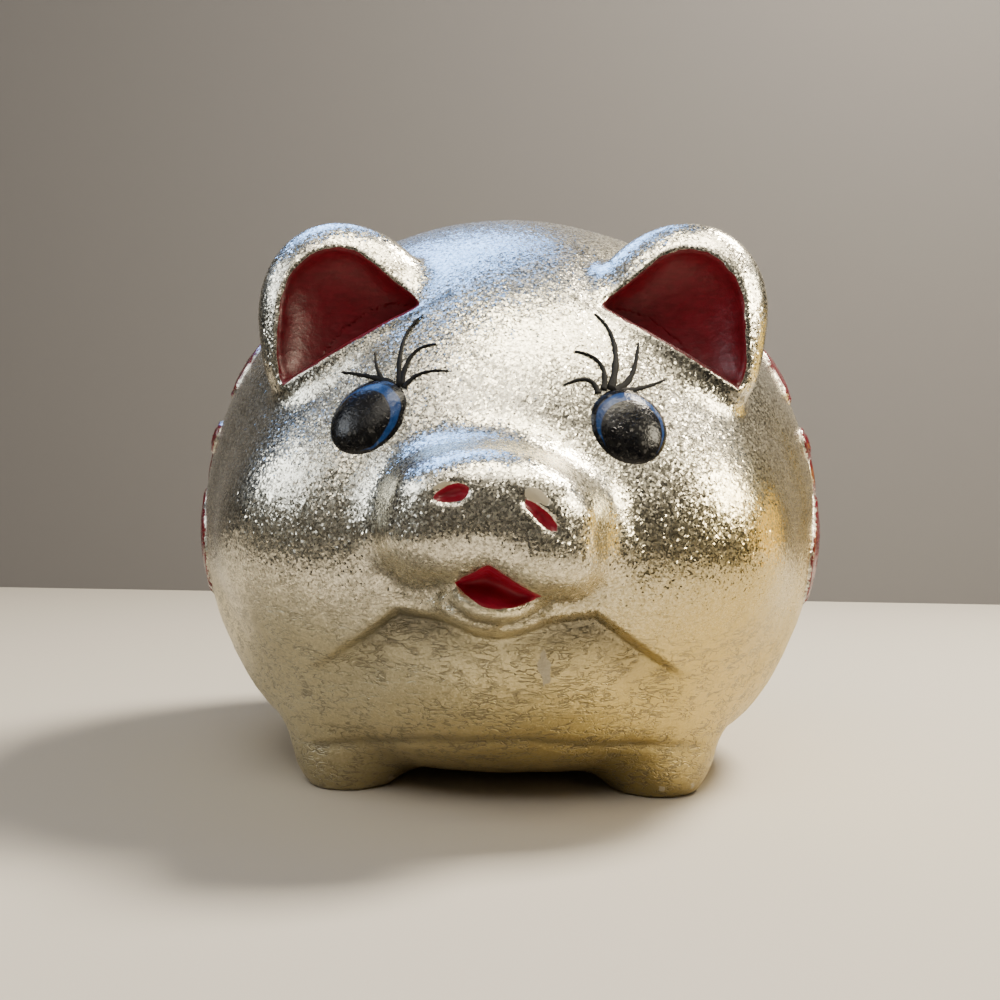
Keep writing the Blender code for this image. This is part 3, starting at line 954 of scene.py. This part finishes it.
def eye_paint():
    """Black outline and pupil and a blue iris, painted glossy over the glitter."""
    g = Paint("eye_paint")
    iris = g.ramp(g.mark("iris"), -0.10, 0.10)
    pupil = g.ramp(g.mark("pupil"), -0.10, 0.10)
    cloud = g.noise(0.9, 4.0, 0.6)
    specks = g.cells(2.6)
    split = g.parts(specks)
    dust = g.math("GREATER_THAN", split["Red"], 0.86)
    worn = g.times(dust, g.ramp(cloud, 0.45, 0.75))
    blue = g.mix(g.ramp(cloud, 0.3, 0.75), rgb(0.008, 0.040, 0.16), rgb(0.018, 0.075, 0.25))
    black = g.mix(g.ramp(cloud, 0.35, 0.8), rgb(0.004, 0.004, 0.005), rgb(0.013, 0.013, 0.012))
    colour = g.mix(iris, black, blue)
    colour = g.mix(pupil, colour, black)
    colour = g.mix(g.times(worn, 0.35), colour, rgb(0.20, 0.19, 0.17))
    height = g.plus(g.noise(1.7, 3.0, 0.6), g.times(split["Green"], 0.5))
    rough = g.ramp(cloud, 0.3, 0.75, 0.13, 0.24)
    rough = g.mix_number(worn, rough, 0.5)
    g.set(Base_Color=colour, Roughness=rough, Normal=g.bump(height, 0.00012, 0.7),
          Specular_IOR_Level=0.24)
    return g.material


def lash_ink():
    """Thin black brush strokes that the glitter shows through in places."""
    g = Paint("lash_ink")
    cloud = g.noise(2.5, 3.0, 0.6)
    colour = g.mix(g.ramp(cloud, 0.5, 0.9), rgb(0.006, 0.006, 0.006), rgb(0.03, 0.029, 0.026))
    g.set(Base_Color=colour, Roughness=g.ramp(cloud, 0.3, 0.8, 0.55, 0.8),
          Normal=g.bump(g.noise(4.0, 2.0, 0.5), 0.00004, 0.6), Specular_IOR_Level=0.12)
    return g.material


def relief_enamel():
    """Red enamel brushed on the raised ornament, silver showing at its outline."""
    g = Paint("relief_enamel")
    edge = g.plus(g.mark("rim"), g.ramp(g.noise(1.2, 2.0, 0.5), 0.3, 0.7, -0.05, 0.05))
    rim = g.ramp(edge, 0.90, 0.955)
    streaks = g.noise(0.45, 4.0, 0.6, g.vector("MULTIPLY", g.place, (1.0, 1.0, 2.6)))
    enamel = g.mix(g.ramp(streaks, 0.35, 0.7), ENAMEL, ENAMEL_DARK)
    split, tip = flake_normal(g, rim)
    silver = g.mix(split["Red"], SILVER_DARK, SILVER)
    bumped = g.bump(g.noise(0.9, 3.0, 0.5), 0.00012, 0.5)
    g.set(Base_Color=g.mix(rim, enamel, silver), Metallic=rim,
          Roughness=g.mix_number(rim, g.ramp(streaks, 0.3, 0.7, 0.16, 0.32), 0.35),
          Normal=g.vector("NORMALIZE", g.vector("ADD", bumped, tip)),
          Coat_Weight=0.3, Coat_Roughness=0.12)
    return g.material


def stopper_rubber():
    """Dark soft rubber, a little dusty, with moulding marks."""
    g = Paint("stopper_rubber")
    cloud = g.noise(0.35, 4.0, 0.6)
    dust = g.ramp(g.noise(1.6, 4.0, 0.7), 0.55, 0.8)
    colour = g.mix(g.ramp(cloud, 0.3, 0.7), rgb(0.022, 0.021, 0.020), rgb(0.040, 0.038, 0.036))
    colour = g.mix(g.times(dust, 0.35), colour, rgb(0.20, 0.19, 0.17))
    g.set(Base_Color=colour, Roughness=g.ramp(dust, 0.0, 1.0, 0.48, 0.72),
          Normal=g.bump(g.noise(3.5, 3.0, 0.6), 0.00006, 0.6), Specular_IOR_Level=0.45)
    return g.material


# ---- building the pieces ----

def dress(made, node, material, body="pig", replaced=True):
    made.data.materials.append(material)
    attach(made, body)
    if replaced:
        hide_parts(node)
    return made


def node_box(node, margin):
    low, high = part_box(node)
    return np.array(low) / MM - margin, np.array(high) / MM + margin


def build_skin(node, name, shape, margin, voxel, material, paint=ear_paint, thinned=None):
    low, high = node_box(node, margin)
    made = field_object(name, shape, low, high, voxel, paint, surface_relief, thinned)
    dress(made, node, material)


def build_pottery(material):
    build_skin("body_shell", "shell_skin", shell_shape, 2.0, SHELL_VOXEL, material, shell_paint,
               plain_parts)
    for side in EAR_SIDE:
        build_skin(side + "_ear", side + "_ear_skin", ear_shape(side), 3.0, EAR_VOXEL, material)
    build_skin("tail", "tail_skin", tail_shape, 1.0, TAIL_VOXEL, material)


def laid_on(flat, towards):
    """Points of the skin, and its normals, under places on the face or on a flank.

    The places are (x, z) seen from the front, or (y, z) seen from a side.
    """
    starts = np.zeros((len(flat), 3))
    if towards == "front":
        starts[:, 0] = flat[:, 0]
        starts[:, 1] = -20.0
        heading = (0.0, -1.0, 0.0)
    else:
        starts[:, 0] = 20.0 * outwards(towards)
        starts[:, 1] = flat[:, 0]
        heading = (outwards(towards), 0.0, 0.0)
    starts[:, 2] = flat[:, 1]
    points = surface_along(starts, heading, head_shape, 0.0, 46.0, 24)
    slope = gradient(head_shape, points, 0.8)
    return points, slope / np.linalg.norm(slope, axis=1)[:, None]


RINGS = 20
SPOKES = 72


def ring_faces(rings, spokes, first):
    """Quads joining each ring of points to the next, with the first ring's first point given."""
    faces = []
    for ring in range(rings - 1):
        for spoke in range(spokes):
            a = first + ring * spokes + spoke
            b = first + ring * spokes + (spoke + 1) % spokes
            faces.append((a, a + spokes, b + spokes, b))
    return faces


def applied_object(name, outline, at, height, sink, towards, paint=None):
    """A closed plate on the skin: outline(angle) is its edge, height(share, angle) its relief."""
    share = np.linspace(0.0, 1.0, RINGS + 1)[1:] ** 0.8
    angle = np.arange(SPOKES) * 2.0 * math.pi / SPOKES
    share_grid, angle_grid = np.meshgrid(share, angle, indexing="ij")
    edge = outline(angle)
    offset = (share_grid[..., None] * edge[None, :, :]).reshape(-1, 2)
    offset = np.vstack([[[0.0, 0.0]], offset])
    shares = np.concatenate([[0.0], share_grid.ravel()])
    angles = np.concatenate([[0.0], angle_grid.ravel()])
    base, normal = laid_on(offset + np.array(at), towards)
    top = base + normal * height(shares, angles)[:, None]
    under = base - normal * sink
    count = len(base)
    faces = ring_faces(RINGS, SPOKES, 1)
    faces += [face[::-1] for face in ring_faces(RINGS, SPOKES, count + 1)]
    last = 1 + (RINGS - 1) * SPOKES
    for spoke in range(SPOKES):
        beside = (spoke + 1) % SPOKES
        faces.append((0, 1 + spoke, 1 + beside))
        faces.append((count, count + 1 + beside, count + 1 + spoke))
        faces.append((last + spoke, count + last + spoke, count + last + beside, last + beside))
    facing = np.cross(top[faces[0][1]] - top[faces[0][0]], top[faces[0][2]] - top[faces[0][0]])
    if facing @ normal[0] < 0.0:
        faces = [face[::-1] for face in faces]
    marks = paint(offset, shares) if paint else {}
    marks = {key: np.concatenate([value, value]) for key, value in marks.items()}
    return mesh_object(name, np.vstack([top, under]), faces, marks)


def turned(across, up, degrees):
    angle = math.radians(degrees)
    return np.stack([across * math.cos(angle) - up * math.sin(angle),
                     across * math.sin(angle) + up * math.cos(angle)], axis=-1)


def build_eye(side, material):
    eye = EYES[side]
    wide, high = eye["half_size"]

    def outline(angle):
        return turned(wide * np.cos(angle), high * np.sin(angle), eye["turn"])

    def height(share, angle):
        return (EYE_RISE + 0.15) * (1.0 - share ** 2.6) ** 0.8 - 0.15

    def paint(offset, shares):
        from_pupil = offset - np.array(eye["pupil"])
        straight = turned(from_pupil[:, 0], from_pupil[:, 1], -eye["turn"])
        reach = np.hypot(straight[:, 0] / eye["pupil_half_size"][0],
                         straight[:, 1] / eye["pupil_half_size"][1])
        uneven = 0.12 * noise(np.column_stack([offset, np.zeros(len(offset))]), 1.1, 41)
        lid = 0.07 * offset[:, 1] / np.maximum(np.linalg.norm(offset, axis=1), 1e-6)
        return {"pupil": (1.0 - reach) * 4.0 + uneven,
                "iris": (0.86 - lid - shares) * 5.0 + uneven}

    made = applied_object(side + "_eye_lens", outline, eye["at"], height, EYE_SINK, "front", paint)
    return dress(made, side + "_eye", material)


def build_lash(side, number, route, material):
    """One tapering brush stroke with a rounded back, lying on the skin."""
    root, bend, tip, half_width = route
    share = np.linspace(0.0, 1.0, 26)[:, None]
    knee = 2.0 * np.array(bend) - 0.5 * (np.array(root) + np.array(tip))
    flat = ((1 - share) ** 2 * np.array(root) + 2 * share * (1 - share) * knee
            + share ** 2 * np.array(tip))
    points, normal = laid_on(flat, "front")
    along = np.gradient(points, axis=0)
    along /= np.linalg.norm(along, axis=1)[:, None]
    across = np.cross(along, normal)
    share = share[:, 0]
    width = 1.5 * half_width * (1.0 - 0.72 * share ** 0.8)
    width *= 1.0 + 0.10 * np.sin(share * 31.0 + number)
    width[-1] *= 0.4
    rounds = 8
    verts = []
    for step in range(rounds):
        angle = 2.0 * math.pi * step / rounds
        side_way = np.cos(angle) * width
        lift = np.sin(angle) * np.minimum(width, 0.22) * 0.9 + 0.06
        verts.append(points + across * side_way[:, None] + normal * lift[:, None])
    verts = np.stack(verts, axis=1).reshape(-1, 3)
    faces = [face[::-1] for face in ring_faces(len(points), rounds, 0)]
    end = (len(points) - 1) * rounds
    faces.append(tuple(range(rounds))[::-1])
    faces.append(tuple(range(end, end + rounds)))
    made = mesh_object(side + "_lash_" + str(number + 1), verts, faces)
    return dress(made, side + "_eye", material, replaced=False)


def build_relief(side, part, at, half_size, spin, kind, material):
    wide, high = half_size

    def outline(angle):
        across = np.cos(angle)
        up = np.sin(angle)
        if kind == "petal":
            notch = 0.16 * hump(angle - math.pi / 2, 0.32)
            narrow = 1.0 - 0.20 * np.maximum(-up, 0.0)
            return turned(wide * across * narrow, high * up * (1.0 - notch), spin)
        if kind == "leaf":
            taper = 1.0 - 0.45 * np.abs(up) ** 1.6
            wavy = 1.0 + 0.025 * np.cos(9.0 * angle)
            return turned(wide * across * taper * wavy, high * up * wavy, spin)
        return turned(wide * across, high * up, spin)

    def height(share, angle):
        dome = (1.0 - share ** 3.0) ** 0.75
        ridge = 0.25 * hump(share - 0.86, 0.07)
        vein = np.zeros_like(share)
        if kind == "petal":
            dip = np.abs(share * np.cos(angle))
            vein = -0.35 * hump(dip, 0.09) * smooth_step(1.0 - share, 0.15, 0.4)
        if kind == "leaf":
            mid = np.abs(share * np.cos(angle))
            branch = np.abs(np.sin((share * np.sin(angle) + 0.8 * mid) * 9.0))
            vein = -0.30 * hump(mid, 0.10)
            vein = vein - 0.15 * hump(branch, 0.22) * (1.0 - share)
        if kind == "centre":
            vein = 0.14 * np.cos(share * 16.0) * (1.0 - share)
        return (RELIEF_RISE - 0.35) * dome + ridge + vein - 0.12

    def paint(offset, shares):
        return {"rim": shares}

    name = side + "_" + part + "_enamel"
    made = applied_object(name, outline, at, height, 0.6, side, paint)
    return dress(made, side + "_" + part, material)


def build_flank(side, material):
    middle = np.array(BLOSSOM_AT)
    build_relief(side, "blossom_centre", middle, (3.9, 3.9), 0.0, "centre", material)
    for number in range(5):
        around = math.radians(90.0 + 72.0 * number)
        place = middle + PETAL_RING * np.array([-math.cos(around), math.sin(around)])
        spin = 90.0 - math.degrees(around)
        build_relief(side, "petal_" + str(number + 1), place, PETAL_HALF_SIZE, -spin, "petal",
                     material)
    for part, leaf in LEAVES.items():
        kind = "centre" if part == "bud" else "leaf"
        build_relief(side, part, leaf["at"], leaf["half_size"], leaf["spin"], kind, material)


def stopper_shape(points):
    x = points[..., 0]
    y = points[..., 1] - HOLE_Y
    z = points[..., 2]
    radius = np.hypot(x, y)
    around = np.arctan2(y, x)
    flange_edge = 13.7 - 0.22 * smooth_step(np.cos(around * 40.0), 0.2, 0.9)
    flange = -blend(-(radius - flange_edge), -(np.abs(z - 1.85) - 0.95), 1.1)
    ribs = 0.20 * (hump(z - 4.6, 0.45) + hump(z - 6.6, 0.45))
    plug = -blend(-(radius - 10.55 - ribs), -(np.abs(z - 4.9) - 3.3), 1.2)
    shape = blend(flange, plug, 0.6)
    shape = carve(shape, np.maximum(radius - 8.4, 3.4 - z), 0.8)
    recess = np.maximum(radius - 9.2, z - 1.75)
    shape = carve(shape, recess, 0.5)
    bar = np.maximum(np.maximum(np.abs(x) - 1.7, np.abs(y) - 8.9), np.abs(z - 1.6) - 0.55)
    ring = np.maximum(np.abs(radius - 11.4) - 0.35, z - 1.15)
    return carve(blend(shape, bar, 0.7), ring, 0.3)


def build_stopper(material):
    low, high = node_box("stopper", 1.0)
    made = field_object("stopper_rubber", stopper_shape, low, high, STOPPER_VOXEL)
    return dress(made, "stopper", material, body="belly_stopper")


SILVER_MATERIAL = silver_lacquer()
EYE_MATERIAL = eye_paint()
LASH_MATERIAL = lash_ink()
RELIEF_MATERIAL = relief_enamel()
build_pottery(SILVER_MATERIAL)
for side in EAR_SIDE:
    build_eye(side, EYE_MATERIAL)
    for number, route in enumerate(LASHES[side]):
        build_lash(side, number, route, LASH_MATERIAL)
    build_flank(side, RELIEF_MATERIAL)
build_stopper(stopper_rubber())


# ---- stage, lights and camera, in metres ----

WALL_BEHIND = 0.316
FLOOR_COLOUR = rgb(0.66, 0.62, 0.55)
WALL_COLOUR = rgb(0.20, 0.195, 0.195)
CARD_COLOUR = rgb(0.05, 0.05, 0.05)
CARD_RADIUS = 0.15
CARD_LOW_EDGE = 0.001
CARD_HEIGHT = 0.070
CARD_RISE = 0.062
CARD_RISE_HALF_ANGLE = 42.0
CARD_HALF_ANGLE = 75.0
CARD_STEPS = 36
LIGHTS_AIM = (0.0, 0.0, 0.045)
SOFTBOXES = {
    "key_softbox": ((0.28, 0.08, 0.50), (0.14, 0.14), 7.0, (1.0, 0.90, 0.74)),
    "fill_softbox": ((-0.10, -0.50, 0.60), (0.5, 0.4), 2.4, (1.0, 0.93, 0.82)),
}
SHEEN_LIGHTS = {
    "top_sheen": ((0.08, -0.20, 0.52), (0.34, 0.16), 3.1, (1.0, 0.91, 0.70)),
    "right_sheen": ((0.42, -0.17, 0.25), (0.20, 0.16), 3.0, (1.0, 0.90, 0.68)),
    "left_sheen": ((-0.42, -0.17, 0.28), (0.24, 0.16), 0.9, (0.90, 0.95, 1.0)),
    "window_sheen": ((-0.16, 0.20, 0.52), (0.42, 0.24), 4.0, (0.22, 0.44, 1.0)),
    "warm_sheen": ((0.30, 0.02, 0.05), (0.20, 0.12), 0.16, (1.0, 0.66, 0.14)),
}
ROOM_SEEN = rgb(0.60, 0.60, 0.61)
ROOM_LEVEL = rgb(0.02, 0.02, 0.02)
ROOM_FRONT = rgb(0.30, 0.28, 0.26)
ROOM_BACK = rgb(0.16, 0.26, 0.52)
CAMERA_AT = (0.0064, -0.1931, 0.044)
CAMERA_YAW = math.radians(2.4)
CAMERA_ROLL = math.radians(0.8)
CAMERA_LENS = 39.96


def plain_material(name, colour):
    """A dull plain surface for the set, which can't be seen from behind."""
    g = Paint(name)
    g.set(Base_Color=colour, Roughness=0.9, Specular_IOR_Level=0.0)
    see_through = g.node("MixShader", {0: g.node("NewGeometry").outputs["Backfacing"],
                                       1: g.shader.outputs["BSDF"],
                                       2: g.node("BsdfTransparent").outputs["BSDF"]})
    g.feed(g.tree.nodes["Material Output"].inputs["Surface"], see_through.outputs[0])
    return g.material


def stage_plane(name, size, place, turn, material):
    half = 0.5 * size / MM
    corners = np.array([(-half, -half, 0.0), (half, -half, 0.0), (half, half, 0.0),
                        (-half, half, 0.0)])
    made = mesh_object(name, corners, [(0, 1, 2, 3)])
    made.location = place
    made.rotation_euler = turn
    made.data.materials.append(material)


def area_light(name, place, size, power, colour, sheen_only):
    """A soft light. sheen_only ones show in glossy surfaces and light nothing else."""
    lamp = bpy.data.lights.new(name, "AREA")
    lamp.shape = "RECTANGLE"
    lamp.size, lamp.size_y = size
    lamp.energy = power
    lamp.color = colour
    made = bpy.data.objects.new(name, lamp)
    bpy.context.scene.collection.objects.link(made)
    made.location = place
    aim = Vector(LIGHTS_AIM) - Vector(place)
    made.rotation_euler = aim.to_track_quat("-Z", "Y").to_euler()
    made.visible_camera = False
    made.visible_diffuse = not sheen_only


def build_stage():
    stage_plane("floor", 6.0, (0.0, 0.0, -0.00005), (0.0, 0.0, 0.0),
                plain_material("floor_pale", FLOOR_COLOUR))
    stage_plane("backdrop", 3.0, (0.0, WALL_BEHIND, 0.0), (math.pi / 2, 0.0, 0.0),
                plain_material("backdrop_grey", WALL_COLOUR))


def build_lights():
    for name, (place, size, power, colour) in SOFTBOXES.items():
        area_light(name, place, size, power, colour, False)
    for name, (place, size, power, colour) in SHEEN_LIGHTS.items():
        area_light(name, place, size, power, colour, True)
    build_room_light()


def build_dark_card():
    """A dark curved card ahead of the pig, highest in the middle, seen only in the lacquer."""
    verts = []
    for number in range(CARD_STEPS + 1):
        degrees = CARD_HALF_ANGLE * (2.0 * number / CARD_STEPS - 1.0)
        around = math.radians(degrees)
        x = CARD_RADIUS * math.sin(around)
        y = -CARD_RADIUS * math.cos(around)
        middle = max(0.0, 1.0 - (degrees / CARD_RISE_HALF_ANGLE) ** 2)
        verts.append((x, y, CARD_LOW_EDGE))
        verts.append((x, y, CARD_HEIGHT + CARD_RISE * middle))
    faces = [(2 * n, 2 * n + 2, 2 * n + 3, 2 * n + 1) for n in range(CARD_STEPS)]
    made = mesh_object("dark_card", np.array(verts) / MM, faces)
    dark = Paint("card_dark")
    dark.set(Base_Color=CARD_COLOUR, Roughness=0.8)
    made.data.materials.append(dark.material)
    made.visible_camera = False
    made.visible_diffuse = False
    made.visible_shadow = False


def build_room_light():
    """A room that is dark ahead of the pig, bright overhead in front and bluer behind."""
    world = bpy.data.worlds.new("room")
    g = Graph(world)
    background = g.tree.nodes["Background"]
    heading = g.node("SeparateXYZ", {"Vector": g.coordinates("Generated")}).outputs
    overhead = g.mix(g.ramp(heading["Y"], -0.25, 0.35), ROOM_FRONT, ROOM_BACK)
    room = g.mix(g.ramp(heading["Z"], 0.15, 0.65), ROOM_LEVEL, overhead)
    seen = g.mix(g.node("LightPath").outputs["Is Camera Ray"], room, ROOM_SEEN)
    g.feed(background.inputs["Color"], seen)
    background.inputs["Strength"].default_value = 1.0
    bpy.context.scene.world = world


def build_camera():
    camera = bpy.data.cameras.new("camera")
    camera.lens = CAMERA_LENS
    camera.sensor_width = 36.0
    camera.clip_start = 0.01
    made = bpy.data.objects.new("camera", camera)
    bpy.context.scene.collection.objects.link(made)
    turn = (Matrix.Rotation(CAMERA_YAW, 4, "Z") @ Matrix.Rotation(math.pi / 2, 4, "X")
            @ Matrix.Rotation(CAMERA_ROLL, 4, "Z"))
    made.matrix_world = Matrix.Translation(CAMERA_AT) @ turn
    bpy.context.scene.camera = made


build_stage()
build_dark_card()
build_lights()
build_camera()
